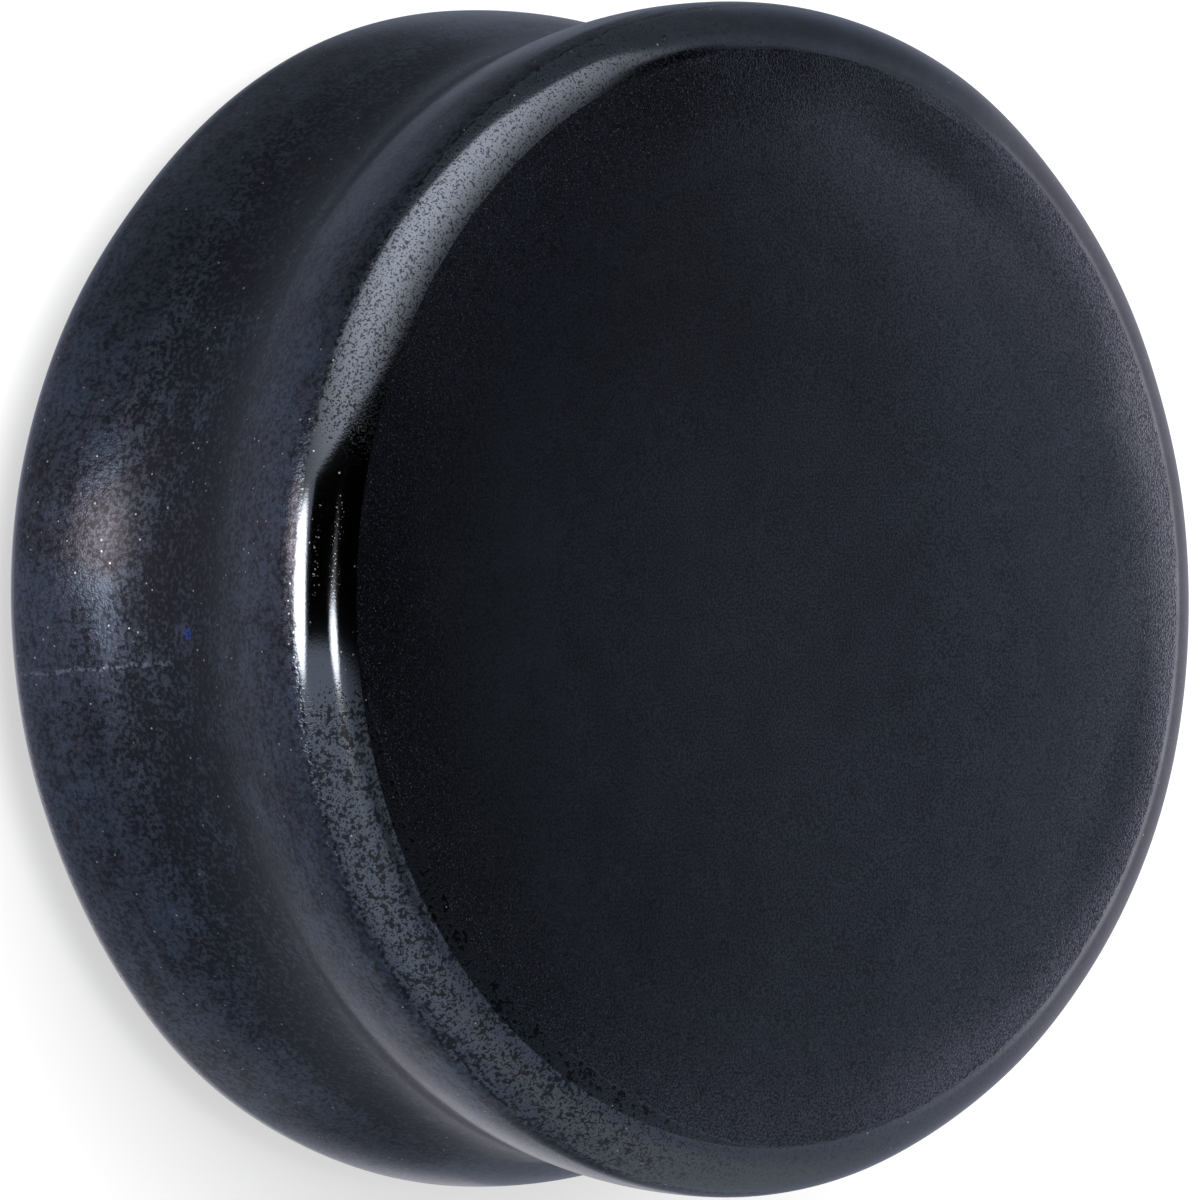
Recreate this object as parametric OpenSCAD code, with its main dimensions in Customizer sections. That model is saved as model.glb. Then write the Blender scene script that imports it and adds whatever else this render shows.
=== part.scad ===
/* [Waist and flares] */
// Diameter of the waist, which is the gauge of the stretched ear that wears the plug
gauge_d = 25; // [20:0.5:30]
// How far each flare stands out from the waist
flare_h = 0.66; // [0.4:0.02:0.8]
// Distance between the crests of the two flares, along the axis
crest_gap = 8.5; // [7.5:0.1:10]
// Radius of the gentle shoulder from each crest down into the saddle
shoulder_r = 7.7; // [6:0.1:10]

/* [Rims and faces] */
// Radius of the round from each crest to its face
rim_r = 1.37; // [1:0.01:1.8]
// Diameter inside which each face is flat, and from which it falls towards its rim
land_d = 13.6; // [8:0.2:15.4]
// Height of that flat above the top of the rim's round
crown_h = 0.49; // [0.2:0.01:0.8]
// Depth to which one surface is ground into the next, which leaves their edges just visible
grind = 0.004; // [0.002:0.001:0.02]

/* [Hidden] */
$fn = 180;
spare = 1; // length by which a shape that is cut to an arc stands past that arc

gauge_r = gauge_d / 2;
flare_r = gauge_r + flare_h;
crest_z = crest_gap / 2;
ground_r = rim_r - grind;
rise = rim_r + crown_h;
half_t = crest_z + rise - grind;

// Middles of the upper rim's round and of the upper shoulder, both level with the crest
rim_c = [flare_r - rim_r, crest_z];
shoulder_c = [flare_r - shoulder_r, crest_z];

// Saddle: one hollow arc through the waist, whose circle is ground into both shoulders
near_r = shoulder_r - 2 * grind;
waist_in = shoulder_r - flare_h; // how far the waist lies outside the middles of the shoulders
saddle_r = (pow(crest_z, 2) + pow(waist_in, 2) - pow(near_r, 2)) / (2 * (near_r - waist_in));
saddle_c = [gauge_r + saddle_r, 0];

// Crown: one shallow arc from the flat to the round, whose circle is highest at the edge of the flat
crown_w = rim_c[0] - land_d / 2;
crown_r = (pow(crown_w, 2) + pow(rise, 2) - pow(ground_r, 2)) / (2 * (rise - ground_r));
crown_c = [land_d / 2, crest_z + rise - crown_r];

// Point at a distance from one arc's middle, in the direction given
function along(from, way, far) = from + way * far / norm(way);
function mirrored(p) = [p[0], -p[1]];

// Core of the section, which reaches past every arc that cuts it
module core() {
    upper = [
        [0, half_t + spare],
        along(rim_c, rim_c - crown_c, rim_r + spare),
        rim_c,
        along(shoulder_c, saddle_c - shoulder_c, shoulder_r / 2),
        along(shoulder_c, saddle_c - shoulder_c, shoulder_r + spare)
    ];
    polygon(concat(upper, [for (i = [len(upper) - 1:-1:0]) mirrored(upper[i])]));
}

// Upper flare: the round outside its crest and the shoulder inside it
module flare() {
    translate(rim_c) circle(rim_r);
    intersection() {
        translate(shoulder_c) circle(shoulder_r - grind);
        translate([0, -half_t]) square([flare_r + spare, half_t + crest_z]);
    }
}

// Room under the upper crown
module under_crown() {
    translate(crown_c) circle(crown_r);
    translate([0, -half_t]) square([crown_c[0], 2 * half_t + spare]);
}

// Section of the plug on one side of its axis, with the middle of the axis at the origin
module section() {
    intersection() {
        translate([0, -half_t]) square([flare_r + spare, 2 * half_t]);
        under_crown();
        mirror([0, 1]) under_crown();
        difference() {
            union() {
                core();
                flare();
                mirror([0, 1]) flare();
            }
            translate(saddle_c) circle(saddle_r);
        }
    }
}

// The whole plug, turned from one stone: a saddle between two equal flares with crowned faces
module stone_plug() {
    color([0.22, 0.24, 0.29])
    translate([0, 0, half_t])
    rotate_extrude() section();
}

stone_plug();
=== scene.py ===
"""A double-flared ear plug of polished haematite, lying on a pale floor under soft studio light."""
import logging
import math
from dataclasses import dataclass

import bpy
from mathutils import Matrix, Vector


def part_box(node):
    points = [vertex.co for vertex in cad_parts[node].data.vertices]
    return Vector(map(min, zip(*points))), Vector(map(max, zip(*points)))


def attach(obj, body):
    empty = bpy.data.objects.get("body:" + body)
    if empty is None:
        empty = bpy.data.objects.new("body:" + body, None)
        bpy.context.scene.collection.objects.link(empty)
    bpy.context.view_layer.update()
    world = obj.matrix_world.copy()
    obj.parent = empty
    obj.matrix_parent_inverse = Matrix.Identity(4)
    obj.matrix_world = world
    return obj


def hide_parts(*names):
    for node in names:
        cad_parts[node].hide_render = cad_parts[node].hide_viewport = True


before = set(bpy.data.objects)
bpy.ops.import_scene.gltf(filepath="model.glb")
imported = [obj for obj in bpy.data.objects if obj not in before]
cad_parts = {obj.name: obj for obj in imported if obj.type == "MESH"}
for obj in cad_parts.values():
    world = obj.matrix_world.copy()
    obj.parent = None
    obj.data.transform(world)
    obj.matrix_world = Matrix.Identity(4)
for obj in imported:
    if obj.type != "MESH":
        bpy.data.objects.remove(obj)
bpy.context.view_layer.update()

MM = 0.001
LOG = logging.getLogger("ear_plug")


def linear(hex_colour: str) -> tuple[float, float, float, float]:
    """Turn an sRGB hex colour into linear light.

    Args:
        hex_colour: The colour as six hex digits after a #.

    Returns:
        Red, green, blue and alpha, linear, from 0 to 1.
    """
    parts = [int(hex_colour[i:i + 2], 16) / 255 for i in (1, 3, 5)]
    light = [p / 12.92 if p <= 0.04045 else ((p + 0.055) / 1.055) ** 2.4 for p in parts]
    return (light[0], light[1], light[2], 1.0)


class Graph:
    """A node tree being filled, for a material or for the world."""

    def __init__(self, tree: bpy.types.NodeTree) -> None:
        """Empty the tree and keep it.

        Args:
            tree: The node tree to fill.
        """
        self.tree = tree
        tree.nodes.clear()

    def add(self, kind: str, settings: dict | None = None, **inputs: object) -> bpy.types.Node:
        """Add one node with its settings and links.

        Args:
            kind: The node's type, without the leading ShaderNode.
            settings: Properties of the node itself, such as its operation.
            **inputs: Values or output sockets by the name of the input, or by its number after an i.

        Returns:
            The new node.
        """
        node = self.tree.nodes.new("ShaderNode" + kind)
        for name, value in (settings or {}).items():
            setattr(node, name, value)
        for name, value in inputs.items():
            numbered = name[0] == "i" and name[1:].isdigit()
            socket = node.inputs[int(name[1:]) if numbered else name.replace("_", " ")]
            if isinstance(value, bpy.types.NodeSocket):
                self.tree.links.new(value, socket)
            else:
                socket.default_value = value
        return node

    def maths(self, operation: str, *values: object, clamp: bool = False) -> bpy.types.NodeSocket:
        """Add one sum on numbers and give its result.

        Args:
            operation: The Math node's operation, such as MULTIPLY.
            *values: Numbers or output sockets, in the node's order.
            clamp: Whether the result is kept from 0 to 1.

        Returns:
            The result's socket.
        """
        inputs = {"i%d" % i: value for i, value in enumerate(values)}
        return self.add("Math", {"operation": operation, "use_clamp": clamp}, **inputs).outputs[0]

    def step(self, value: bpy.types.NodeSocket, low: object, high: object) -> bpy.types.NodeSocket:
        """Rise smoothly from 0 where value is low to 1 where it is high.

        Args:
            value: The number that is looked at.
            low: Where the rise starts, a number or a socket.
            high: Where it ends, on either side of low.

        Returns:
            The result's socket.
        """
        settings = {"interpolation_type": "SMOOTHSTEP", "clamp": True}
        return self.add("MapRange", settings, Value=value, From_Min=low, From_Max=high).outputs[0]


@dataclass
class Camera:
    """The camera, which sees the plug's axis at the photograph's angle.

    Attributes:
        middle: The middle of the plug.
        flare_r: Radius of the flares, which the photograph's scale is measured in.
        axis_angle: Angle between the plug's axis and the line of sight, in degrees.
        distance_r: Distance from the middle of the plug, in flare radii.
        radius_px: Length of a flare's radius in the photograph, in pixels.
        middle_px: Where the middle of the plug lies in the photograph, in pixels.
        frame_px: Width and height of the photograph, in pixels.
        sensor: Width of the sensor, in millimetres.
        nearest: How near to the camera things still show.
    """

    middle: Vector
    flare_r: float
    axis_angle: float = 41.06
    distance_r: float = 26.7
    radius_px: float = 593.3
    middle_px: tuple[float, float] = (607.9, 598.6)
    frame_px: float = 1200.0
    sensor: float = 36.0
    nearest: float = 10 * MM

    def axes(self) -> tuple[Vector, Vector, Vector]:
        """Work out the camera's axes.

        Returns:
            The picture's right, its up and the way back to the camera, in the plug's frame.
        """
        away = math.radians(self.axis_angle)
        right = Vector((0, math.cos(away), math.sin(away)))
        back = Vector((0, -math.sin(away), math.cos(away)))
        return right, back.cross(right), back

    def place(self) -> bpy.types.Object:
        """Add the camera and make it the scene's.

        Returns:
            The camera's object.
        """
        right, up, back = self.axes()
        per_px = self.flare_r / self.radius_px
        aside = (self.middle_px[0] - self.frame_px / 2) * per_px
        above = (self.frame_px / 2 - self.middle_px[1]) * per_px
        spot = self.middle + back * self.distance_r * self.flare_r - right * aside - up * above
        bpy.ops.object.camera_add(location=spot)
        camera = bpy.context.object
        camera.matrix_world = Matrix.Translation(spot) @ Matrix((right, up, back)).transposed().to_4x4()
        camera.data.sensor_width = self.sensor
        camera.data.lens = self.radius_px * self.distance_r / self.frame_px * self.sensor
        camera.data.clip_start = self.nearest
        bpy.context.scene.camera = camera
        return camera


@dataclass(frozen=True)
class Paper:
    """Matt paper under the plug: it scatters all light evenly and mirrors nothing.

    Attributes:
        colour: Its colour.
        glow: Share of it that shines by itself, which keeps the shadow on it faint.
        shine: How bright that share is, against its colour.
    """

    colour: str
    glow: float = 0.6
    shine: float = 1.1

    def build(self) -> bpy.types.Material:
        """Make the material.

        Returns:
            The material.
        """
        material = bpy.data.materials.new("matt_paper")
        material.use_nodes = True
        graph = Graph(material.node_tree)
        paper = graph.add("BsdfDiffuse", Color=linear(self.colour))
        lit = graph.add("Emission", Color=linear(self.colour), Strength=self.shine)
        both = graph.add("MixShader", i0=self.glow, i1=paper.outputs[0], i2=lit.outputs[0])
        graph.add("OutputMaterial", Surface=both.outputs[0])
        return material


@dataclass(frozen=True)
class Panel:
    """One bright or dark sheet in the studio, as a rectangle of directions seen from the plug.

    Directions are an angle across, from the camera to the picture's right, and an angle up.

    Attributes:
        across: The angles across where the sheet starts and ends, in degrees.
        height: The angles up where it starts and ends, in degrees.
        colour: Its colour.
        power: How bright it is, against white.
        soft: Width of its left, right, lower and upper edge, in degrees.
        sag: How far its lower and its upper edge drop towards its two ends, in degrees.
        lean: How far its lower edge drops from its middle to its right end, in degrees.
        glow: Brightness that is added round the middle of its glow.
        glow_at: The direction of that middle, across and up.
        glow_width: How far from there the glow has faded to a third, in degrees.
    """

    across: tuple[float, float]
    height: tuple[float, float]
    colour: str
    power: float
    soft: tuple[float, float, float, float] = (3.0, 3.0, 3.0, 3.0)
    sag: tuple[float, float] = (0.0, 0.0)
    lean: float = 0.0
    glow: float = 0.0
    glow_at: tuple[float, float] = (0.0, 0.0)
    glow_width: float = 30.0


@dataclass(frozen=True)
class Patch:
    """One lamp, or one lighter or darker place in the room, as an oval of directions.

    Attributes:
        at: Its middle, across and up, in degrees.
        size: Half of its width and height, in degrees.
        colour: Its colour.
        power: How bright it is, against white.
        soft: Share of its size over which it fades, to both sides of its edge.
    """

    at: tuple[float, float]
    size: tuple[float, float]
    colour: str
    power: float
    soft: float = 0.5


@dataclass
class Studio:
    """The pale floor, the light on it, and the surroundings that the stone mirrors.

    Attributes:
        camera: The camera, whose axes the surroundings are laid out along.
        floor_size: Width of the floor, in metres.
        floor_colour: Colour of the floor and of what is seen past it.
        light_at: Where the light over the floor hangs.
        light_size: Width of that light.
        light_watts: Its power.
        room_colour: Colour of the room where nothing stands in it.
        room: Lighter and darker places in the room.
        sheets: The softbox, and the dark cards in front of the plug's face and rim.
        lamps: The small lamps.
    """

    camera: Camera
    floor_size: float = 3.0
    floor_colour: str = "#E9E9E9"
    light_at: tuple[float, float, float] = (-0.25, -0.1, 0.6)
    light_size: float = 0.6
    light_watts: float = 7.0
    room_colour: str = "#707786"
    room: tuple[Patch, ...] = (
        # High up, then left and behind, then right, then below
        Patch((-105.0, 59.0), (75.0, 25.0), "#5A5E68", 1.0, 0.7),
        Patch((-105.0, 58.0), (45.0, 9.0), "#383C44", 1.0, 0.8),
        Patch((111.5, 70.5), (32.0, 48.0), "#585D66", 1.0, 0.6),
        Patch((-95.0, 0.0), (45.0, 22.0), "#9A9CAE", 0.72, 0.8),
        Patch((-148.0, -42.0), (30.0, 22.0), "#888C98", 1.0, 0.7),
        Patch((-180.0, -50.0), (20.0, 16.0), "#50545E", 1.0, 0.6),
        Patch((-168.0, -12.0), (18.0, 13.0), "#BEBCC4", 1.0, 0.8),
        Patch((-166.0, 38.0), (14.0, 12.0), "#484C54", 1.0, 0.6),
        Patch((-45.0, 4.0), (22.0, 14.0), "#A2A6B8", 0.6, 0.8),
        Patch((128.0, -0.6), (42.0, 24.0), "#A19EA9", 1.0, 0.6),
        Patch((104.0, -2.0), (8.0, 13.0), "#FFFBFF", 0.9, 0.6),
        Patch((102.0, -56.0), (78.0, 22.0), "#85888E", 1.0, 0.6),
        Patch((-8.0, -25.0), (44.0, 47.0), "#979EAB", 0.95, 0.6),
        Patch((50.0, -16.0), (9.0, 6.0), "#4A4F58", 1.0, 0.7),
    )
    sheets: tuple[Panel, ...] = (
        # Dim ceiling, and two dim sheets at the right
        Panel((-200, 200), (44, 120), "#565B64", 1.0, (1, 1, 24, 1)),
        Panel((34, 99.0), (-12, 22), "#6D727C", 1.0, (8, 2, 6, 6)),
        Panel((85, 97), (6, 17), "#7C7D88", 1.0, (4, 3, 5, 8)),
        # Black cards in front of the rim and of the face's left side, and the softbox over them
        Panel((-31, 67), (-5.3, 24), "#000000", 0.0, (4, 4, 3.5, 2), (0.0, 0.0), -1.7),
        Panel((65, 83.2), (-13.8, 8.1), "#000000", 0.0, (4, 43, 6, 4)),
        Panel((-55, 82.8), (20.4, 78), "#F2F5FF", 0.0, (8, 6, 2, 6), (12.2, 15.5), 6.2,
              glow=1.34, glow_at=(7.0, 58.0), glow_width=43.0),
        # Dark flags at the softbox's right end
        Panel((75, 84.5), (10, 33), "#0A0B0F", 1.0, (4, 3, 8, 8)),
        Panel((68, 80.0), (3.0, 15), "#30323A", 1.0, (4, 8, 5, 5)),
    )
    lamps: tuple[Patch, ...] = (
        # The lamp at the left with a warm glow beside it, and the lamp by the camera with its dim tube
        Patch((-63.0, 10.0), (10.0, 6.0), "#FFF4F4", 3.2, 0.9),
        Patch((-45.0, 1.5), (10.5, 13.2), "#FFFFFF", 6.0, 0.25),
        Patch((18.0, -9.8), (4.0, 14.0), "#FFFFFF", 0.46, 0.6),
        Patch((16.5, -4.6), (6.0, 4.2), "#FFFFFF", 5.0, 0.55),
    )

    def floor(self) -> bpy.types.Object:
        """Add the floor, which the stone doesn't mirror.

        Returns:
            The floor's object.
        """
        bpy.ops.mesh.primitive_plane_add(size=self.floor_size, location=(0, 0, 0))
        floor = bpy.context.object
        floor.name = "floor"
        floor.data.materials.append(Paper(self.floor_colour).build())
        floor.visible_glossy = False
        floor.visible_shadow = False
        return floor

    def floor_light(self) -> bpy.types.Object:
        """Add the soft light over the floor, which the stone doesn't mirror either.

        Returns:
            The light's object.
        """
        bpy.ops.object.light_add(type="AREA", location=self.light_at)
        light = bpy.context.object
        light.name = "floor_light"
        light.data.shape = "DISK"
        light.data.size = self.light_size
        light.data.energy = self.light_watts
        light.rotation_euler = (-light.location).to_track_quat("-Z", "Y").to_euler()
        light.visible_glossy = False
        light.visible_camera = False
        return light

    def surroundings(self) -> bpy.types.World:
        """Build the world: a grey room with its sheets and lamps.

        Returns:
            The world.
        """
        world = bpy.data.worlds.new("studio")
        world.use_nodes = True
        bpy.context.scene.world = world
        graph = Graph(world.node_tree)
        way = graph.add("TexCoord").outputs["Generated"]
        dots = [
            graph.add("VectorMath", {"operation": "DOT_PRODUCT"}, i0=way, i1=tuple(axis)).outputs["Value"]
            for axis in self.camera.axes()
        ]
        across = graph.maths("DEGREES", graph.maths("ARCTAN2", dots[0], dots[2]))
        height = graph.maths("DEGREES", graph.maths("ARCSINE", dots[1]))
        place = graph.add("CombineXYZ", X=across, Y=height).outputs[0]
        light = graph.add("RGB")
        light.outputs[0].default_value = linear(self.room_colour)
        light = light.outputs[0]
        for patch in self.room:
            light = self.lay(graph, light, self.oval(graph, patch, place), patch)
        for sheet in self.sheets:
            light = self.lay(graph, light, self.rectangle(graph, sheet, across, height), sheet, way)
        for lamp in self.lamps:
            light = self.lay(graph, light, self.oval(graph, lamp, place), lamp)
        mirrored = graph.add("LightPath").outputs["Is Glossy Ray"]
        backdrop = graph.add("Background", Color=linear(self.floor_colour), Strength=1.0)
        room = graph.add("Background", Color=light, Strength=1.0)
        both = graph.add("MixShader", i0=mirrored, i1=backdrop.outputs[0], i2=room.outputs[0])
        graph.add("OutputWorld", Surface=both.outputs[0])
        world.cycles.sampling_method = "NONE"
        return world

    def oval(self, graph: Graph, patch: Patch, place: bpy.types.NodeSocket) -> bpy.types.NodeSocket:
        """Find how far each direction lies in an oval.

        Args:
            graph: The world's nodes.
            patch: The oval.
            place: Each direction's angle across and up, as a vector.

        Returns:
            A share from 0 outside to 1 inside.
        """
        scale = (1 / patch.size[0], 1 / patch.size[1], 0.0)
        shift = (-patch.at[0] / patch.size[0], -patch.at[1] / patch.size[1], 0.0)
        off = graph.add("VectorMath", {"operation": "MULTIPLY_ADD"}, i0=place, i1=scale, i2=shift).outputs[0]
        far = graph.add("VectorMath", {"operation": "LENGTH"}, i0=off).outputs["Value"]
        return graph.step(far, 1 + patch.soft, 1 - patch.soft)

    def rectangle(self, graph: Graph, sheet: Panel, across: bpy.types.NodeSocket,
                  height: bpy.types.NodeSocket) -> bpy.types.NodeSocket:
        """Find how far each direction lies in a sheet.

        Args:
            graph: The world's nodes.
            sheet: The sheet.
            across: Each direction's angle across.
            height: Each direction's angle up.

        Returns:
            A share from 0 outside to 1 inside.
        """
        left, right, low, top = (s / 2 for s in sheet.soft)
        lows = tops = height
        if any(sheet.sag) or sheet.lean:
            middle, half = sum(sheet.across) / 2, (sheet.across[1] - sheet.across[0]) / 2
            off = graph.maths("MULTIPLY_ADD", across, 1 / half, -middle / half)
            square = graph.maths("MULTIPLY", off, off)
            lows = graph.maths("MULTIPLY_ADD", square, sheet.sag[0], height)
            lows = graph.maths("MULTIPLY_ADD", off, sheet.lean, lows)
            tops = graph.maths("MULTIPLY_ADD", square, sheet.sag[1], height)
        share = graph.step(lows, sheet.height[0] - low, sheet.height[0] + low)
        for value, edge, half_edge in (
            (tops, sheet.height[1], -top), (across, sheet.across[0], left), (across, sheet.across[1], -right),
        ):
            share = graph.maths("MULTIPLY", share, graph.step(value, edge - half_edge, edge + half_edge))
        return share

    def lay(self, graph: Graph, light: bpy.types.NodeSocket, share: bpy.types.NodeSocket,
            shape: Panel | Patch, way: bpy.types.NodeSocket | None = None) -> bpy.types.NodeSocket:
        """Lay a sheet or an oval over the light so far.

        Args:
            graph: The world's nodes.
            light: The light so far.
            share: How far each direction lies in the shape.
            shape: The sheet or the oval.
            way: Each direction, for a sheet that glows.

        Returns:
            The light with the shape.
        """
        colour = linear(shape.colour)
        own = tuple(c * shape.power for c in colour[:3]) + (1.0,)
        if getattr(shape, "glow", 0.0):
            centre = tuple(self.direction(*shape.glow_at))
            near = graph.add("VectorMath", {"operation": "DOT_PRODUCT"}, i0=way, i1=centre).outputs["Value"]
            off = graph.maths("DEGREES", graph.maths("ARCCOSINE", near))
            angle = graph.maths("DIVIDE", off, shape.glow_width)
            fade = graph.maths("EXPONENT", graph.maths("MULTIPLY", graph.maths("MULTIPLY", angle, angle), -1.0))
            power = graph.maths("MULTIPLY_ADD", fade, shape.glow, shape.power)
            own = graph.add("VectorMath", {"operation": "SCALE"}, i0=colour[:3], Scale=power).outputs[0]
        return graph.add("Mix", {"data_type": "RGBA"}, i0=share, i6=light, i7=own).outputs[2]

    def direction(self, across: float, up: float) -> Vector:
        """Turn two angles into a direction.

        Args:
            across: The angle across, from the camera to the picture's right, in degrees.
            up: The angle up, in degrees.

        Returns:
            The direction in the plug's frame.
        """
        right, above, back = self.camera.axes()
        flat, lift = math.radians(across), math.radians(up)
        return (back * math.cos(flat) + right * math.sin(flat)) * math.cos(lift) + above * math.sin(lift)

    def build(self) -> None:
        """Add the whole studio and set how its light is shown."""
        self.floor()
        self.floor_light()
        self.surroundings()
        bpy.context.scene.view_settings.view_transform = "Standard"
        LOG.info("studio: floor, floor light, %d sheets, %d lamps", len(self.sheets), len(self.lamps))


@dataclass(frozen=True)
class Patterns:
    """The stone's own patterns, each from 0 to 1 with most of it near 0.5.

    Attributes:
        grain: Fine grain.
        grit: Single grains.
        flecks: Flecks, with finer ones in them.
        drift: Slow change, which moves borders and gathers pits.
        clouds: Clouds, with ever finer ones in them.
        streaks: Streaks along the turn.
    """

    grain: bpy.types.NodeSocket
    grit: bpy.types.NodeSocket
    flecks: bpy.types.NodeSocket
    drift: bpy.types.NodeSocket
    clouds: bpy.types.NodeSocket
    streaks: bpy.types.NodeSocket


@dataclass(frozen=True)
class Places:
    """Where each point lies on the plug, as shares from 0 to 1 and as distances in metres.

    Attributes:
        height: Distance from the middle, up or down.
        wander: Distance by which borders stray from their line.
        near_clean: How far the point faces the side without pits, from -1 to 1.
        clean: Share of the narrow strip without pits.
        left: Share of the half that faces that strip.
        pitted: Share of the side with most pits.
        sparse: Share of the side away from it.
        sparkly: Share of the side where more grains are painted as glints, by the lamps' reflections.
        glittering: Share of the narrow strip of the rim where glitter is painted.
        lapped: Share of the lapped faces.
        border: Share of their coarser border.
        worn_border_and_sheen: Share of the worn part of that border, which is also painted lighter as a sheen.
        saddle: Share of the satin saddle, from one rim's polish to the other's.
        waist: Share of its dull middle.
        seam: Share of the dark broken line between the saddle and the polish.
    """

    height: bpy.types.NodeSocket
    wander: bpy.types.NodeSocket
    near_clean: bpy.types.NodeSocket
    clean: bpy.types.NodeSocket
    left: bpy.types.NodeSocket
    pitted: bpy.types.NodeSocket
    sparse: bpy.types.NodeSocket
    sparkly: bpy.types.NodeSocket
    glittering: bpy.types.NodeSocket
    lapped: bpy.types.NodeSocket
    border: bpy.types.NodeSocket
    worn_border_and_sheen: bpy.types.NodeSocket
    saddle: bpy.types.NodeSocket
    waist: bpy.types.NodeSocket
    seam: bpy.types.NodeSocket


@dataclass(frozen=True)
class Haematite:
    """Natural haematite, turned on a lathe, lapped and polished.

    An iron oxide: opaque, with a metallic lustre, which mirrors about a quarter of the light in a cold grey
    and sends none back from inside, so what it mirrors dark is black. The rims took a mirror polish, which
    left small pits open, most of them on one side. The saddle kept a satin finish with the stone's own
    clouds in it, and it is rougher and darker towards the waist. The faces are lapped flat. A thin
    film of wax over all of it gives the dull parts one faint sharper mirror image of each lamp.

    Attributes:
        middle_z: Height of the plug's middle.
        crest_z: Height of the flares' crests above the middle.
        face_r: Radius of each face.
        polish_z: Height above the middle where the rims' polish starts.
        pitted_side: Direction across the plug in which the rims have most pits.
        clean_side: Direction in which they have none.
        spark_side: Direction round which most painted glints gather, where the lamps' reflections lie on the
            near rim.
        worn_side: Direction in which the polish runs over the edge of the face.
        across_vein: Direction across the thin vein that runs up the lower half of the saddle.
        crystal_at: Where one blue crystal stands in the waist, from the plug's middle.
        rim_colour: Colour of the polished rims, of bare haematite.
        saddle_blue: Bluer colour of the saddle.
        saddle_lilac: Warmer colour of the saddle.
        cloud_colour: Colour of the clouds in the saddle.
        vein_colour: Colour of the vein.
        crystal_colour: Colour of the crystal.
        face_colour: Colour of the faces.
        border_sheen_colour: Painted sheen on the worn border of the faces, on the side away from the pits: a
            lighter colour that stands in for light catching that edge.
        pit_colour: Colour of pits and of dark grain.
        spark_colour: Near-white colour of single grains that stand in for glints: a painted glint.
        rim_roughness: Roughness of the rims.
        shoulder_roughness: Roughness of the saddle next to the crests.
        saddle_roughness: Roughness of the waist.
        face_roughness: Roughness of the faces.
        film: Share of the surface that the wax covers.
        film_roughness: Roughness of that wax.
        grain_size: Size of the grain.
        grit_size: Size of single grains.
        fleck_size: Size of the largest flecks and pits.
        drift_size: Size of the slow change.
        cloud_size: Size of the largest clouds.
        streak_size: Width of the streaks along the turn.
        spark_gap: Distance between places where a grain may sparkle, about one in seven of which does.
        stray: How far borders stray from their line, from end to end.
        waist_shift: How far above the middle the dull waist lies.
        relief_depth: Depth of the relief, of lapping marks and pits.
    """

    middle_z: float
    crest_z: float
    face_r: float
    polish_z: float
    pitted_side: tuple[float, float, float] = (0.574, -0.819, 0)
    clean_side: tuple[float, float, float] = (-0.052, -0.9986, 0)
    spark_side: tuple[float, float, float] = (-0.087, -0.996, 0)
    worn_side: tuple[float, float, float] = (0.719, -0.695, 0)
    across_vein: tuple[float, float, float] = (-0.993, -0.118, -0.05)
    crystal_at: tuple[float, float, float] = (0.763 * MM, -12.48 * MM, 0.51 * MM)
    rim_colour: str = "#83888F"
    saddle_blue: str = "#6C7684"
    saddle_lilac: str = "#75747F"
    cloud_colour: str = "#26272E"
    vein_colour: str = "#B4BCC2"
    crystal_colour: str = "#4A68D8"
    face_colour: str = "#8D929D"
    border_sheen_colour: str = "#ABABBC"
    pit_colour: str = "#0F0D0C"
    spark_colour: str = "#F2F0EE"
    rim_roughness: float = 0.07
    shoulder_roughness: float = 0.22
    saddle_roughness: float = 0.48
    face_roughness: float = 0.12
    film: float = 0.8
    film_roughness: float = 0.15
    grain_size: float = 0.05 * MM
    grit_size: float = 0.036 * MM
    fleck_size: float = 0.11 * MM
    drift_size: float = 0.35 * MM
    cloud_size: float = 1.5 * MM
    streak_size: float = 0.5 * MM
    spark_gap: float = 0.25 * MM
    stray: float = 0.5 * MM
    waist_shift: float = 0.4 * MM
    relief_depth: float = 0.01 * MM

    def build(self) -> bpy.types.Material:
        """Make the material.

        Returns:
            The material.
        """
        material = bpy.data.materials.new("haematite_polished_and_lapped")
        material.use_nodes = True
        g = Graph(material.node_tree)
        point = g.add("TexCoord").outputs["Object"]
        patterns = self.lay_patterns(g, point)
        places = self.find_places(g, point, patterns)
        pit = self.pits(g, patterns, places)
        spark = self.sparks(g, point, patterns, places)
        bare = g.maths("SUBTRACT", 1.0, g.maths("MAXIMUM", places.lapped, places.saddle))
        hole = g.maths("MAXIMUM", g.maths("MULTIPLY", pit, bare), places.seam)

        rims = self.rims(g, patterns, places, pit)
        look = self.mix(g, places.saddle, rims, self.satin(g, point, patterns, places))
        look = self.mix(g, places.lapped, look, self.faces(g, patterns, places))
        look = self.mix(g, g.maths("MULTIPLY", places.seam, 0.9), look, self.pit_colour)
        # Painted glints: near-white grains mixed over the colour
        look = self.mix(g, spark, look, self.spark_colour)
        rough = self.dullness(g, patterns, places, hole, spark)
        relief = self.relief(g, patterns, places, hole)
        bump = g.add("Bump", Strength=1.0, Distance=self.relief_depth, Height=relief).outputs[0]
        wax = g.maths("MULTIPLY_ADD", g.maths("MULTIPLY", places.waist, places.saddle), -0.35, self.film)
        shader = g.add("BsdfPrincipled", Base_Color=look, Metallic=1.0, Roughness=rough, Normal=bump,
                       Coat_Weight=wax, Coat_Roughness=self.film_roughness)
        g.add("OutputMaterial", Surface=shader.outputs[0])
        return material

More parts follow.
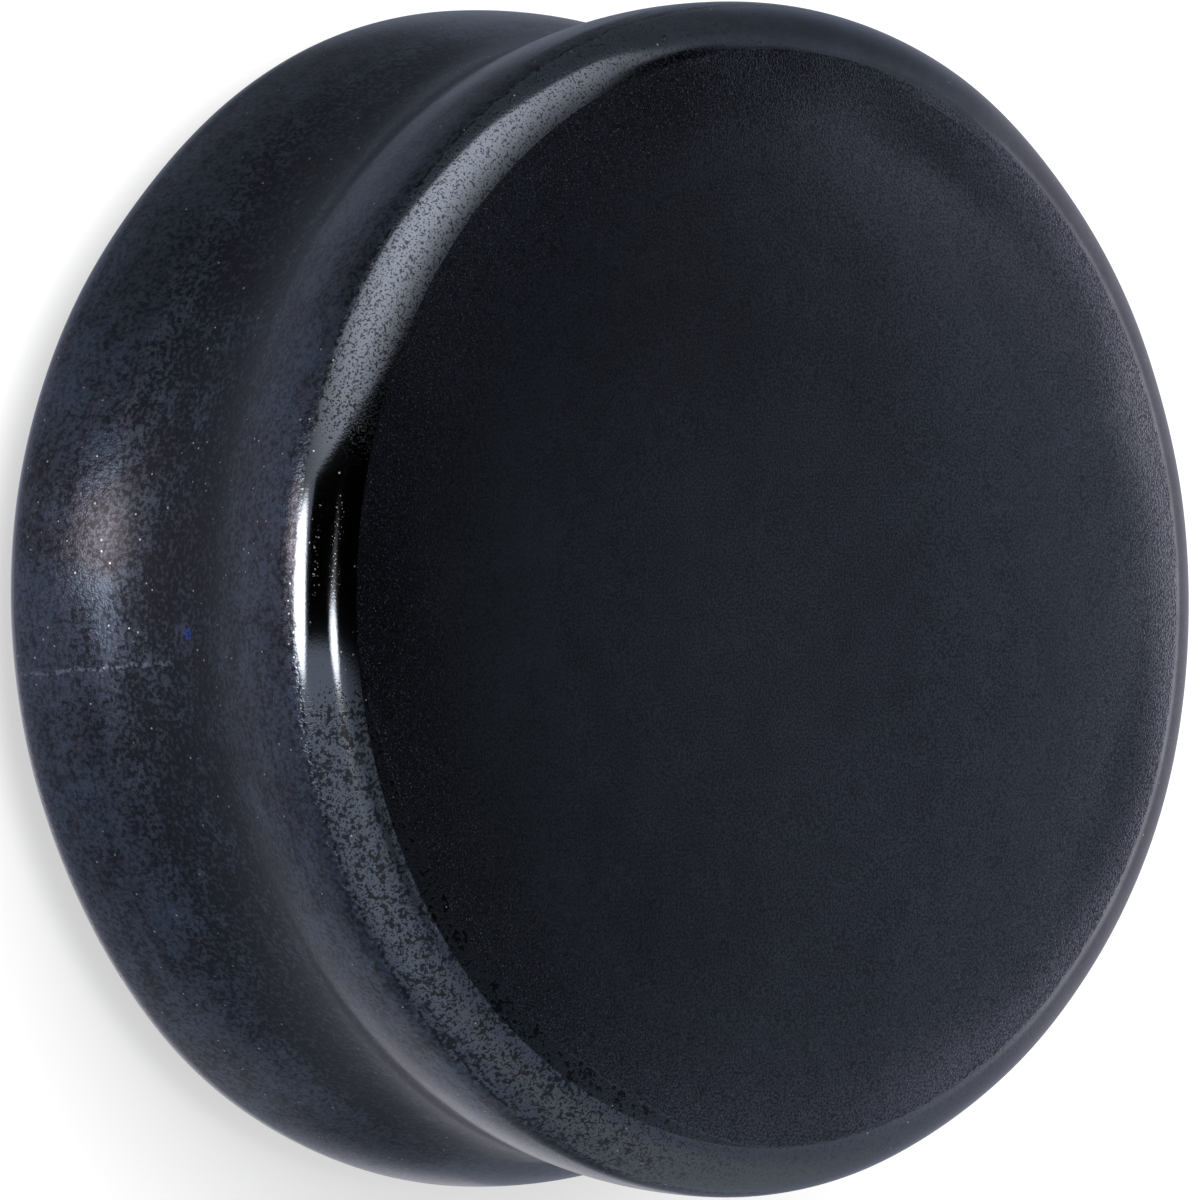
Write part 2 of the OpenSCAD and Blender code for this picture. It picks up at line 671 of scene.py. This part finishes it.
    def lay_patterns(self, g: Graph, point: bpy.types.NodeSocket) -> Patterns:
        """Add the stone's patterns.

        Args:
            g: The material's nodes.
            point: Where on the plug.

        Returns:
            The patterns.
        """
        drawn_out = g.add("VectorMath", {"operation": "MULTIPLY"}, i0=point, i1=(0.08, 0.08, 1.0)).outputs[0]
        return Patterns(
            grain=self.noise(g, point, self.grain_size, 1.0),
            grit=self.noise(g, point, self.grit_size, 0.0),
            flecks=self.noise(g, point, self.fleck_size, 3.0, 0.6),
            drift=self.noise(g, point, self.drift_size, 2.0),
            clouds=self.noise(g, point, self.cloud_size, 6.0, 0.78),
            streaks=self.noise(g, drawn_out, self.streak_size, 2.0),
        )

    def find_places(self, g: Graph, point: bpy.types.NodeSocket, patterns: Patterns) -> Places:
        """Find the sides of the plug and the parts of its surface.

        Args:
            g: The material's nodes.
            point: Where on the plug.
            patterns: The stone's patterns, which move the borders.

        Returns:
            The places.
        """
        parts = g.add("SeparateXYZ", Vector=point)
        flat = g.add("CombineXYZ", X=parts.outputs[0], Y=parts.outputs[1]).outputs[0]
        aim = g.add("VectorMath", {"operation": "NORMALIZE"}, i0=flat).outputs[0]
        radius = g.add("VectorMath", {"operation": "LENGTH"}, i0=flat).outputs["Value"]
        height = g.maths("ABSOLUTE", g.maths("SUBTRACT", parts.outputs[2], self.middle_z))
        wander = g.maths("MULTIPLY_ADD", patterns.drift, self.stray, -self.stray / 2)

        # Sides, each as a direction across the plug
        near_pits = g.maths("MULTIPLY_ADD", patterns.drift, 0.3, self.towards(g, aim, self.pitted_side))
        near_clean = self.towards(g, aim, self.clean_side)
        near_spark = self.towards(g, aim, self.spark_side)
        pitted = g.step(near_pits, 0.75, 1.12)
        clean = g.step(g.maths("MULTIPLY_ADD", patterns.drift, 0.03, near_clean), 0.985, 1.012)
        spoilt = g.maths("SUBTRACT", 1.0, clean)

        # Lapped faces, over whose edge the polish runs up to 0.5 mm on the worn side
        worn = g.maths("MULTIPLY", g.step(self.towards(g, aim, self.worn_side), 0.72, 1.0), 0.5 * MM)
        reach = g.maths("ADD", g.maths("MULTIPLY_ADD", wander, 0.3, radius), worn)
        edge = g.step(reach, self.face_r + 0.02 * MM, self.face_r - 0.04 * MM)
        lapped = g.maths("MULTIPLY", edge, g.step(height, self.polish_z + 0.4 * MM, self.polish_z + 0.5 * MM))
        # Worn part of the faces' border: rougher, with coarser marks, and painted lighter as a sheen where
        # light catches the edge
        worn_border_and_sheen = g.maths("MULTIPLY", g.step(radius, 10.8 * MM, 12.1 * MM), g.step(near_clean, -0.1, -0.8))

        # Satin saddle, whose border frays on the pitted side, and its dull waist
        ragged = g.maths("MULTIPLY_ADD", wander, 0.3, height)
        frayed = g.maths("MULTIPLY", g.maths("MULTIPLY", pitted, 0.9 * MM), spoilt)
        frayed = g.maths("MULTIPLY", g.maths("SUBTRACT", patterns.flecks, 0.5), frayed)
        saddle = g.step(g.maths("ADD", ragged, frayed), self.polish_z + 0.05 * MM, self.polish_z - 0.05 * MM)
        off_waist = g.maths("ABSOLUTE", g.maths("SUBTRACT", parts.outputs[2], self.middle_z + self.waist_shift))
        off_waist = g.maths("MULTIPLY_ADD", wander, 2.5, off_waist)

        # Seam of 0.1 mm where the saddle meets the polish, broken into dashes
        off_seam = g.maths("ABSOLUTE", g.maths("SUBTRACT", ragged, self.polish_z))
        seam = g.step(g.maths("DIVIDE", off_seam, 0.05 * MM), 1.0, 0.4)
        seam = g.maths("MULTIPLY", g.maths("MULTIPLY", seam, g.step(patterns.flecks, 0.6, 0.4)), spoilt)
        return Places(
            height=height,
            wander=wander,
            near_clean=near_clean,
            clean=clean,
            left=g.step(near_clean, -0.1, 0.4),
            pitted=pitted,
            sparse=g.step(near_pits, 0.5, -0.4),
            sparkly=g.step(near_spark, 0.962, 0.985),
            glittering=g.step(near_spark, 0.9945, 0.9975),
            lapped=lapped,
            border=g.step(radius, 7.5 * MM, 12.4 * MM),
            worn_border_and_sheen=worn_border_and_sheen,
            saddle=saddle,
            waist=g.step(off_waist, 0.72 * self.crest_z, 0.2 * self.crest_z),
            seam=seam,
        )

    def pits(self, g: Graph, patterns: Patterns, places: Places) -> bpy.types.NodeSocket:
        """Find the rims' open pits: large and small, in clusters on the pitted side and faint on the right.

        Args:
            g: The material's nodes.
            patterns: The stone's patterns.
            places: The parts of its surface.

        Returns:
            How deep in a pit each point lies, from 0 to 1.
        """
        level = g.maths("MULTIPLY_ADD", places.clean, -0.4, g.maths("MULTIPLY_ADD", places.sparse, -0.04, 0.4))
        gathered = g.maths("MULTIPLY_ADD", patterns.drift, 0.5, -0.19)
        wide = g.maths("MULTIPLY_ADD", gathered, places.pitted, level)
        large = g.step(patterns.flecks, g.maths("ADD", wide, 0.03), g.maths("SUBTRACT", wide, 0.05))
        small = g.step(patterns.grain, g.maths("ADD", level, 0.05), g.maths("SUBTRACT", level, 0.04))
        strength = g.maths("MULTIPLY_ADD", places.left, 0.65, 0.35)
        return g.maths("MULTIPLY", g.maths("MAXIMUM", large, small), strength)

    def sparks(self, g: Graph, point: bpy.types.NodeSocket, patterns: Patterns,
               places: Places) -> bpy.types.NodeSocket:
        """Find the single grains of 0.05 mm that are painted near-white as glints, more of them by the lamps'
        reflections, and the painted glitter on the near rim.

        Args:
            g: The material's nodes.
            point: Where on the plug.
            patterns: The stone's patterns.
            places: The parts of its surface.

        Returns:
            How far in such a grain each point lies, from 0 to 1.
        """
        unlapped = g.maths("SUBTRACT", 1.0, places.lapped)
        stars = g.add("TexVoronoi", {"feature": "F1"}, Vector=point, Scale=1 / self.spark_gap)
        chance = g.add("SeparateColor", Color=stars.outputs["Color"]).outputs[1]
        # More grains are painted as glints on the side by the lamps' reflections
        lucky = g.step(g.maths("MULTIPLY_ADD", places.sparkly, 0.4, chance), 0.85, 0.87)
        spark = g.maths("MULTIPLY", g.step(stars.outputs["Distance"], 0.11, 0.07), lucky)
        spark = g.maths("MULTIPLY", spark, unlapped)

        # Painted glitter: bright specks in two belts round the rim, 5.15 and 5.42 mm from the middle, by the
        # lamps' reflections
        belt = g.maths("MINIMUM", *(
            g.maths("ABSOLUTE", g.maths("SUBTRACT", places.height, middle * MM)) for middle in (5.15, 5.42)
        ))
        glitter = g.maths("MULTIPLY", g.step(patterns.grit, 0.7, 0.78), g.step(belt, 0.11 * MM, 0.03 * MM))
        glitter = g.maths("MULTIPLY", glitter, g.maths("MULTIPLY", places.glittering, unlapped))
        return g.maths("MAXIMUM", spark, glitter)

    def rims(self, g: Graph, patterns: Patterns, places: Places,
             pit: bpy.types.NodeSocket) -> bpy.types.NodeSocket:
        """Colour the rims: bare metal with dark pits, and faintly mottled away from them.

        Args:
            g: The material's nodes.
            patterns: The stone's patterns.
            places: The parts of its surface.
            pit: The pits.

        Returns:
            The colour.
        """
        mottled = g.maths("MULTIPLY", g.step(patterns.clouds, 0.6, 0.42), 0.22)
        dark = g.maths("MAXIMUM", g.maths("MULTIPLY", pit, 0.85), g.maths("MULTIPLY", mottled, places.sparse))
        return self.mix(g, dark, self.rim_colour, self.pit_colour)

    def satin(self, g: Graph, point: bpy.types.NodeSocket, patterns: Patterns,
              places: Places) -> bpy.types.NodeSocket:
        """Colour the saddle: blue-grey to lilac, with dark clouds that thicken towards the waist.

        Args:
            g: The material's nodes.
            point: Where on the plug.
            patterns: The stone's patterns.
            places: The parts of its surface.

        Returns:
            The colour.
        """
        tint = self.mix(g, g.step(patterns.clouds, 0.4, 0.62), self.saddle_blue, self.saddle_lilac)
        # The clouds thicken towards the waist, which makes the saddle darker there
        depth = g.maths("MULTIPLY_ADD", places.waist, 0.46, -1.21)
        for pattern, weight in ((patterns.streaks, 0.7), (patterns.drift, 0.8), (patterns.clouds, 1.8)):
            depth = g.maths("MULTIPLY_ADD", pattern, weight, depth)
        specks = g.maths("MULTIPLY_ADD", g.step(patterns.flecks, 0.53, 0.4), 0.5,
                         g.maths("MULTIPLY", g.step(patterns.grit, 0.5, 0.3), 0.3))
        cloudy = g.maths("ADD", g.step(depth, 0.1, 1.15), specks, clamp=True)
        bright = g.maths("MULTIPLY_ADD", g.step(patterns.flecks, 0.5, 0.64), -0.3, 1.0)
        cloudy = g.maths("MULTIPLY", g.maths("MULTIPLY", cloudy, bright), 0.95)
        look = self.mix(g, cloudy, tint, self.cloud_colour)

        # A broken vein about 0.1 mm wide, on the clean side below the waist
        centred = g.add("VectorMath", {"operation": "SUBTRACT"}, i0=point, i1=(0, 0, self.middle_z)).outputs[0]
        off_vein = g.maths("SUBTRACT", self.towards(g, centred, self.across_vein), 0.1 * MM)
        off_vein = g.maths("ABSOLUTE", g.maths("MULTIPLY_ADD", places.wander, 0.5, off_vein))
        vein = g.maths("MULTIPLY", g.step(off_vein, 0.07 * MM, 0.02 * MM), g.step(patterns.flecks, 0.38, 0.56))
        below = g.step(g.add("SeparateXYZ", Vector=centred).outputs[2], 0.1 * MM, -0.4 * MM)
        vein = g.maths("MULTIPLY", g.maths("MULTIPLY", vein, below), g.step(places.near_clean, 0.0, 0.5))
        look = self.mix(g, g.maths("MULTIPLY", vein, 0.4), look, self.vein_colour)

        # A blue crystal about 0.25 mm wide
        off_crystal = g.add("VectorMath", {"operation": "DISTANCE"}, i0=centred, i1=self.crystal_at)
        crystal = g.step(off_crystal.outputs["Value"], 0.17 * MM, 0.1 * MM)
        crystal = g.maths("MULTIPLY", crystal, g.step(patterns.grit, 0.42, 0.56))
        return self.mix(g, crystal, look, self.crystal_colour)

    def faces(self, g: Graph, patterns: Patterns, places: Places) -> bpy.types.NodeSocket:
        """Colour the faces: even, with grain and faint clouds, and painted lighter as a sheen on the worn part
        of their border.

        Args:
            g: The material's nodes.
            patterns: The stone's patterns.
            places: The parts of its surface.

        Returns:
            The colour.
        """
        amount = g.maths("MULTIPLY_ADD", places.border, 0.2, 0.4)
        grainy = g.maths("MULTIPLY", g.step(patterns.grain, 0.62, 0.36), amount)
        dark = g.maths("MULTIPLY_ADD", g.step(patterns.clouds, 0.62, 0.38), 0.1, grainy)
        # Painted sheen: the worn part of the border is mixed towards a lighter colour
        clear = self.mix(g, g.maths("MULTIPLY", places.worn_border_and_sheen, 0.8), self.face_colour, self.border_sheen_colour)
        return self.mix(g, dark, clear, self.pit_colour)

    def dullness(self, g: Graph, patterns: Patterns, places: Places, hole: bpy.types.NodeSocket,
                 spark: bpy.types.NodeSocket) -> bpy.types.NodeSocket:
        """Set the roughness: mirror on the rims, satin in the saddle, even on the faces, dull in every pit.

        Args:
            g: The material's nodes.
            patterns: The stone's patterns.
            places: The parts of its surface.
            hole: The pits and the seam.
            spark: The grains that are painted as glints.

        Returns:
            The roughness.
        """
        satin = g.maths("MULTIPLY_ADD", places.waist, self.saddle_roughness - self.shoulder_roughness,
                        self.shoulder_roughness - self.rim_roughness)
        rough = g.maths("MULTIPLY_ADD", places.saddle, satin, self.rim_roughness)
        rough = g.add("Mix", {"data_type": "FLOAT"}, i0=places.lapped, i2=rough, i3=self.face_roughness)
        rough = g.maths("MAXIMUM", rough.outputs[0], g.maths("MULTIPLY", hole, 0.14))
        rough = g.maths("MAXIMUM", rough, g.maths("MULTIPLY", spark, 0.35))
        specks = g.maths("MULTIPLY", g.step(patterns.grit, 0.64, 0.76), self.coarseness(g, places))
        rough = g.maths("MULTIPLY_ADD", g.maths("MULTIPLY", specks, places.lapped), 0.25, rough)
        return g.maths("MULTIPLY_ADD", places.worn_border_and_sheen, 0.06, rough)

    def relief(self, g: Graph, patterns: Patterns, places: Places,
               hole: bpy.types.NodeSocket) -> bpy.types.NodeSocket:
        """Raise the relief: lapping marks and pits of a few thousandths of a millimetre.

        Args:
            g: The material's nodes.
            patterns: The stone's patterns.
            places: The parts of its surface.
            hole: The pits and the seam.

        Returns:
            The relief, in shares of its depth.
        """
        marks = g.maths("MULTIPLY", places.lapped, g.maths("ADD", self.coarseness(g, places), places.worn_border_and_sheen))
        coarse = g.maths("MULTIPLY_ADD", marks, 0.22, g.maths("MULTIPLY_ADD", places.saddle, 0.65, 0.07))
        return g.maths("MULTIPLY_ADD", patterns.grain, coarse, g.maths("MULTIPLY", hole, -0.1))

    @staticmethod
    def coarseness(g: Graph, places: Places) -> bpy.types.NodeSocket:
        """Find how coarse a face's lapping is: a quarter in its middle, and all of it in its border."""
        return g.maths("MULTIPLY_ADD", places.border, 0.75, 0.25)

    @staticmethod
    def noise(g: Graph, point: bpy.types.NodeSocket, size: float, detail: float,
              fine: float = 0.5) -> bpy.types.NodeSocket:
        """Add noise whose lumps have a real size.

        Args:
            g: The material's nodes.
            point: Where on the plug.
            size: Size of the lumps.
            detail: How many times it is repeated, each time at half the size.
            fine: Share of each repeat's strength that the next one has.

        Returns:
            The noise, from 0 to 1 with most of it near 0.5.
        """
        return g.add("TexNoise", Vector=point, Scale=1 / size, Detail=detail, Roughness=fine).outputs[0]

    @staticmethod
    def towards(g: Graph, aim: bpy.types.NodeSocket, side: tuple[float, float, float]) -> bpy.types.NodeSocket:
        """Find how far each place faces a side: 1 there, 0 across and -1 opposite."""
        return g.add("VectorMath", {"operation": "DOT_PRODUCT"}, i0=aim, i1=side).outputs["Value"]

    @staticmethod
    def mix(g: Graph, share: bpy.types.NodeSocket, first: object, second: object) -> bpy.types.NodeSocket:
        """Mix two colours, each a hex value or a socket.

        Args:
            g: The material's nodes.
            share: Share of the second colour.
            first: The first colour.
            second: The second colour.

        Returns:
            The mixed colour.
        """
        pair = [linear(c) if isinstance(c, str) else c for c in (first, second)]
        return g.add("Mix", {"data_type": "RGBA"}, i0=share, i6=pair[0], i7=pair[1]).outputs[2]


@dataclass(frozen=True)
class Swell:
    """A place where the turned rim runs a little high or low.

    Attributes:
        upper: Whether it is on the upper flare.
        angle: Where it is round the plug, in degrees from the +Y axis towards +X.
        height: How far it stands out, in millimetres, or in where this is below 0.
        width: How far to each side it has fallen to a third, in degrees.
    """

    upper: bool
    angle: float
    height: float
    width: float


@dataclass
class StonePlug:
    """The plug: a saddle between two equal flares, with crowned faces.

    Attributes:
        low: Lowest corner of the CAD solid.
        high: Highest corner of the CAD solid.
        waist_r: Radius of the waist.
        crest_z: Height of the flares' crests above the plug's middle.
        rim_r: Radius of the round from each crest to its face.
        shoulder_r: Radius of the shoulder from each crest down into the saddle.
        round_end: Angle between the face's plane and the round where the round ends, in degrees.
        edge_slope: Slope of the face where it meets the round, in degrees.
        polish_start: How far round the rim from its crest the polish starts, in degrees.
        inner_shares: Shares of the face's radius where its wide inner rings lie.
        face_rings: How many rings the rest of the face has.
        crowding: How much closer those rings lie near the middle, where 1 is even.
        round_steps: How many steps the round is cut in.
        shoulder_steps: How many steps the shoulder is cut in.
        saddle_steps: How many steps half of the saddle is cut in.
        eighth: How many steps an eighth of the turn is cut in.
        weld: Distance below which points are merged.
        swells: Where the flares are out of round.
        most: The most that a flare is out of round.
        swell_from: Shares of the flare's radius where the swells start and where they are whole.
        waves: Height of the unevenness that hand polishing leaves.
        wave_size: Size of that unevenness.
    """

    low: Vector
    high: Vector
    waist_r: float = 12.5 * MM
    crest_z: float = 4.25 * MM
    rim_r: float = 1.37 * MM
    shoulder_r: float = 7.7 * MM
    round_end: float = 10.5
    edge_slope: float = 7.0
    polish_start: float = 22.0
    inner_shares: tuple[float, ...] = (0.0, 0.12, 0.24, 0.34)
    face_rings: int = 24
    crowding: float = 0.8
    round_steps: int = 42
    shoulder_steps: int = 12
    saddle_steps: int = 10
    eighth: int = 60
    weld: float = 0.002 * MM
    swells: tuple[Swell, ...] = (
        Swell(True, 299.0, 0.082, 12.0),
        Swell(True, 338.0, -0.03, 9.0),
        Swell(True, 23.0, 0.051, 14.0),
        Swell(True, 64.0, -0.038, 12.0),
        Swell(True, 288.0, 0.028, 13.0),
        Swell(True, 268.0, -0.04, 13.0),
        Swell(True, 250.0, -0.015, 13.0),
        Swell(False, 225.0, -0.082, 13.0),
        Swell(False, 188.0, 0.031, 14.0),
        Swell(False, 154.0, -0.036, 11.0),
        Swell(False, 126.0, 0.042, 11.0),
        Swell(False, 253.0, 0.031, 10.0),
    )
    most: float = 0.1 * MM
    swell_from: tuple[float, float] = (0.8, 0.9)
    waves: float = 0.03 * MM
    wave_size: float = 5.0 * MM

    @property
    def flare_r(self) -> float:
        """Radius of the flares."""
        return (self.high.x - self.low.x) / 2

    @property
    def half_t(self) -> float:
        """Half of the plug's thickness."""
        return (self.high.z - self.low.z) / 2

    @property
    def face_r(self) -> float:
        """Radius of each face, which ends where it meets the round."""
        return self.flare_r - self.rim_r * (1 - math.sin(math.radians(self.round_end)))

    @property
    def polish_z(self) -> float:
        """Height above the middle where the rims' polish starts."""
        return self.crest_z + self.rim_r * math.sin(math.radians(self.polish_start))

    def section(self) -> list[tuple[float, float]]:
        """Work out half of the section, from the middle of the face to the waist.

        The face is level in the middle and falls ever faster towards the round, as hand lapping leaves it.

        Returns:
            Points as radius and height above the plug's middle.
        """
        rim = Vector((self.flare_r - self.rim_r, self.crest_z))
        shoulder = Vector((self.flare_r - self.shoulder_r, self.crest_z))
        inset = self.waist_r - shoulder.x
        saddle_r = (self.crest_z ** 2 + inset ** 2 - self.shoulder_r ** 2) / (2 * (self.shoulder_r - inset))
        saddle = Vector((self.waist_r + saddle_r, 0))
        dip = math.degrees(math.atan2(shoulder.y, saddle.x - shoulder.x))
        turned = math.radians(self.round_end)
        meet = rim + Vector((math.sin(turned), math.cos(turned))) * self.rim_r
        fall = self.half_t - meet.y
        power = meet.x * math.tan(math.radians(self.edge_slope)) / fall
        inner = self.inner_shares[-1]
        steps = [(i / self.face_rings) ** self.crowding for i in range(1, self.face_rings + 1)]
        shares = [*self.inner_shares, *(inner + (1 - inner) * step for step in steps)]
        points = [(meet.x * s, self.half_t - fall * s ** power) for s in shares]
        points += self.arc(rim, self.rim_r, 90 - self.round_end, 0, self.round_steps)[1:]
        points += self.arc(shoulder, self.shoulder_r, 0, -dip, self.shoulder_steps)[1:]
        points += self.arc(saddle, saddle_r, 180 - dip, 180, self.saddle_steps)[1:]
        return points

    @staticmethod
    def arc(centre: Vector, radius: float, start: float, end: float, steps: int) -> list[tuple[float, float]]:
        """Points along an arc.

        Args:
            centre: The arc's middle.
            radius: Its radius.
            start: The angle where it starts, in degrees.
            end: The angle where it ends, in degrees.
            steps: How many steps it is cut in.

        Returns:
            Points as radius and height.
        """
        angles = [math.radians(start + (end - start) * i / steps) for i in range(steps + 1)]
        return [(centre.x + radius * math.cos(a), centre.y + radius * math.sin(a)) for a in angles]

    def spin(self) -> bpy.types.Object:
        """Spin the section round the axis, an eighth of a turn and then eight of those.

        Returns:
            The plug's object.
        """
        half = self.section()
        points = half + [(r, -z) for r, z in reversed(half[:-1])]
        bpy.ops.object.select_all(action="DESELECT")
        bpy.ops.mesh.primitive_circle_add(vertices=len(points), radius=self.flare_r, fill_type="NOTHING")
        piece = bpy.context.object
        piece.name = "stone_plug_polished"
        for vertex, (r, z) in zip(piece.data.vertices, points):
            vertex.co = (r, 0, z + self.half_t)
        bpy.ops.object.mode_set(mode="EDIT")
        bpy.ops.mesh.select_all(action="DESELECT")
        bpy.ops.mesh.select_mode(type="EDGE")
        bpy.ops.object.mode_set(mode="OBJECT")
        for edge in piece.data.edges:
            edge.select = all(piece.data.vertices[i].co.x < self.weld / 2 for i in edge.vertices)
        bpy.ops.object.mode_set(mode="EDIT")
        bpy.ops.mesh.delete(type="EDGE_FACE")
        bpy.ops.mesh.select_mode(type="VERT")
        turn = {"center": (0, 0, 0), "axis": (0, 0, 1)}
        bpy.ops.mesh.select_all(action="SELECT")
        bpy.ops.mesh.spin(steps=self.eighth, angle=math.tau / 8, **turn)
        bpy.ops.mesh.select_all(action="SELECT")
        bpy.ops.mesh.spin(steps=8, dupli=True, angle=math.tau, **turn)
        bpy.ops.mesh.select_all(action="SELECT")
        bpy.ops.mesh.remove_doubles(threshold=self.weld)
        bpy.ops.mesh.normals_make_consistent(inside=False)
        bpy.ops.object.mode_set(mode="OBJECT")
        return piece

    def out_of_round(self, piece: bpy.types.Object) -> None:
        """Push the flares out and in where the stone is out of round, and make its surface a little uneven.

        Args:
            piece: The plug's object.
        """
        groups = {sign: piece.vertex_groups.new(name=name) for sign, name in ((1, "swells"), (-1, "dents"))}
        start, whole = self.swell_from
        for vertex in piece.data.vertices:
            above = vertex.co.z - self.half_t
            radius = math.hypot(vertex.co.x, vertex.co.y)
            near = min(max((radius / self.flare_r - start) / (whole - start), 0.0), 1.0)
            near *= min(max(abs(above) / self.crest_z, 0.0), 1.0)
            if near == 0.0:
                continue
            angle = math.degrees(math.atan2(vertex.co.x, vertex.co.y))
            push = 0.0
            for swell in self.swells:
                if swell.upper == (above > 0):
                    off = (angle - swell.angle + 180) % 360 - 180
                    push += swell.height * MM * math.exp(-(off / swell.width) ** 2)
            groups[1 if push > 0 else -1].add([vertex.index], min(abs(push) * near / self.most, 1.0), "REPLACE")
        bpy.context.view_layer.objects.active = piece
        for sign, group in groups.items():
            move = piece.modifiers.new(group.name, "DISPLACE")
            move.vertex_group = group.name
            move.mid_level = 0.0
            move.strength = sign * self.most
            bpy.ops.object.modifier_apply(modifier=move.name)
        ripple = bpy.data.textures.new("hand_polish", "CLOUDS")
        ripple.noise_scale = self.wave_size
        ripple.noise_depth = 1
        wave = piece.modifiers.new("waves", "DISPLACE")
        wave.texture = ripple
        wave.texture_coords = "LOCAL"
        wave.strength = self.waves
        bpy.ops.object.modifier_apply(modifier=wave.name)
        piece.vertex_groups.clear()

    def build(self) -> bpy.types.Object:
        """Model and dress the plug, and put it in place of the CAD solid.

        Returns:
            The plug's object.
        """
        piece = self.spin()
        self.out_of_round(piece)
        crease = math.radians(self.round_end - self.edge_slope)
        bpy.ops.object.shade_smooth_by_angle(angle=0.75 * crease)
        stone = Haematite(self.half_t, self.crest_z, self.face_r, self.polish_z)
        piece.data.materials.clear()
        piece.data.materials.append(stone.build())
        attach(piece, "root")
        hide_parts("stone_plug")
        LOG.info("stone plug: %d faces", len(piece.data.polygons))
        return piece


def main() -> None:
    """Build the plug, the camera and the studio."""
    logging.basicConfig(level=logging.INFO, format="%(name)s: %(message)s")
    low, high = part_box("stone_plug")
    plug = StonePlug(low, high)
    plug.build()
    camera = Camera(middle=Vector((0, 0, plug.half_t)), flare_r=plug.flare_r)
    camera.place()
    Studio(camera).build()


if __name__ == "__main__":
    main()
